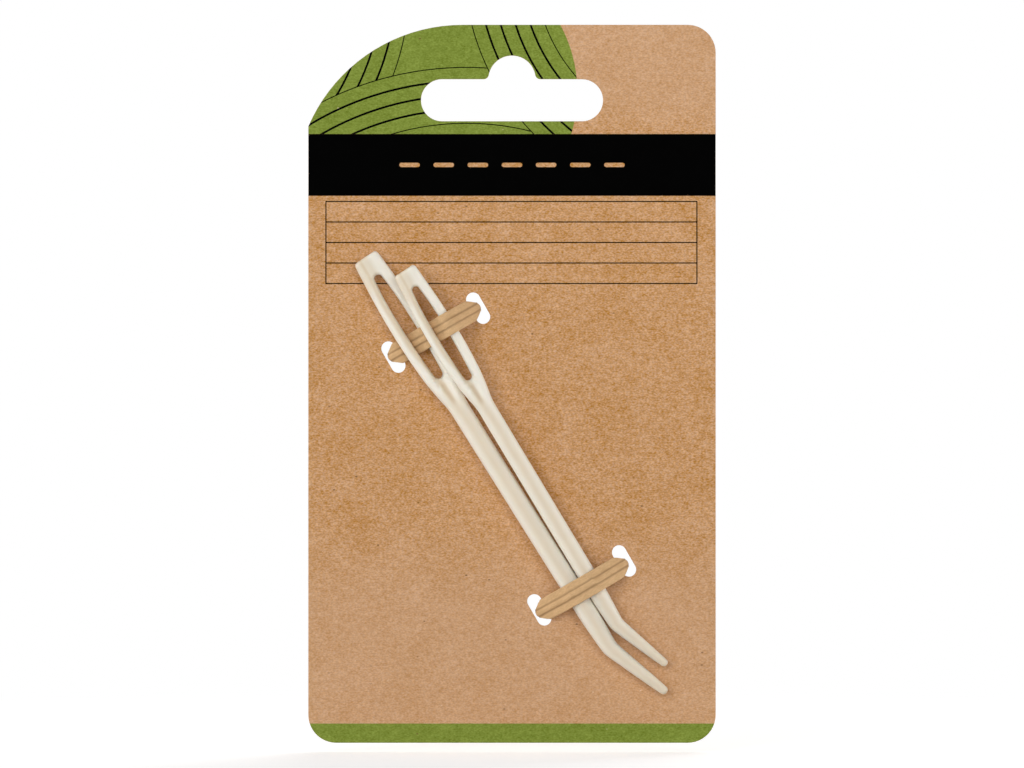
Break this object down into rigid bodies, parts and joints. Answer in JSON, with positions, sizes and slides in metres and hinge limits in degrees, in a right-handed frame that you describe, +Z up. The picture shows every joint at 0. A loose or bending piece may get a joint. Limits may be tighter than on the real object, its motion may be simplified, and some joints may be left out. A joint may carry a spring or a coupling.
{
  "type": "yarn needle set on a hang card",
  "caption": "Bent-tip moulded plastic yarn needles, a large and a small one, laced side by side to an upright kraft hang card by wire-cored paper twist ties.",
  "frame": {"origin": "crown of the hang slot in the card, in the middle of the board's thickness", "axes": "+X to the card's right seen from the front, +Y into the card from front to back, +Z up the card"},
  "size_m": [0.0716, 0.0119, 0.1262],
  "materials": {
    "kraft_board": "uncoated brown kraft board with matt print",
    "cream_plastic": "satin moulded cream plastic",
    "kraft_tie": "ribbed kraft paper",
    "tie_wire": "annealed iron wire"
  },
  "bodies": {
    "carrier": {"card": "kraft_board", "upper_tie_paper": "kraft_tie", "upper_tie_wire": "tie_wire", "lower_tie_paper": "kraft_tie", "lower_tie_wire": "tie_wire"},
    "large": {"needle_large": "cream_plastic"},
    "small": {"needle_small": "cream_plastic"}
  },
  "joints": [
    {"name": "needle_large_slide", "type": "slide", "parent": "carrier", "child": "large", "axis": [0.5307, 0, -0.8475], "range_m": [-0.0012, 0.008]},
    {"name": "needle_small_slide", "type": "slide", "parent": "carrier", "child": "small", "axis": [0.5143, 0.0424, -0.8566], "range_m": [-0.005, 0.0012]}
  ]
}
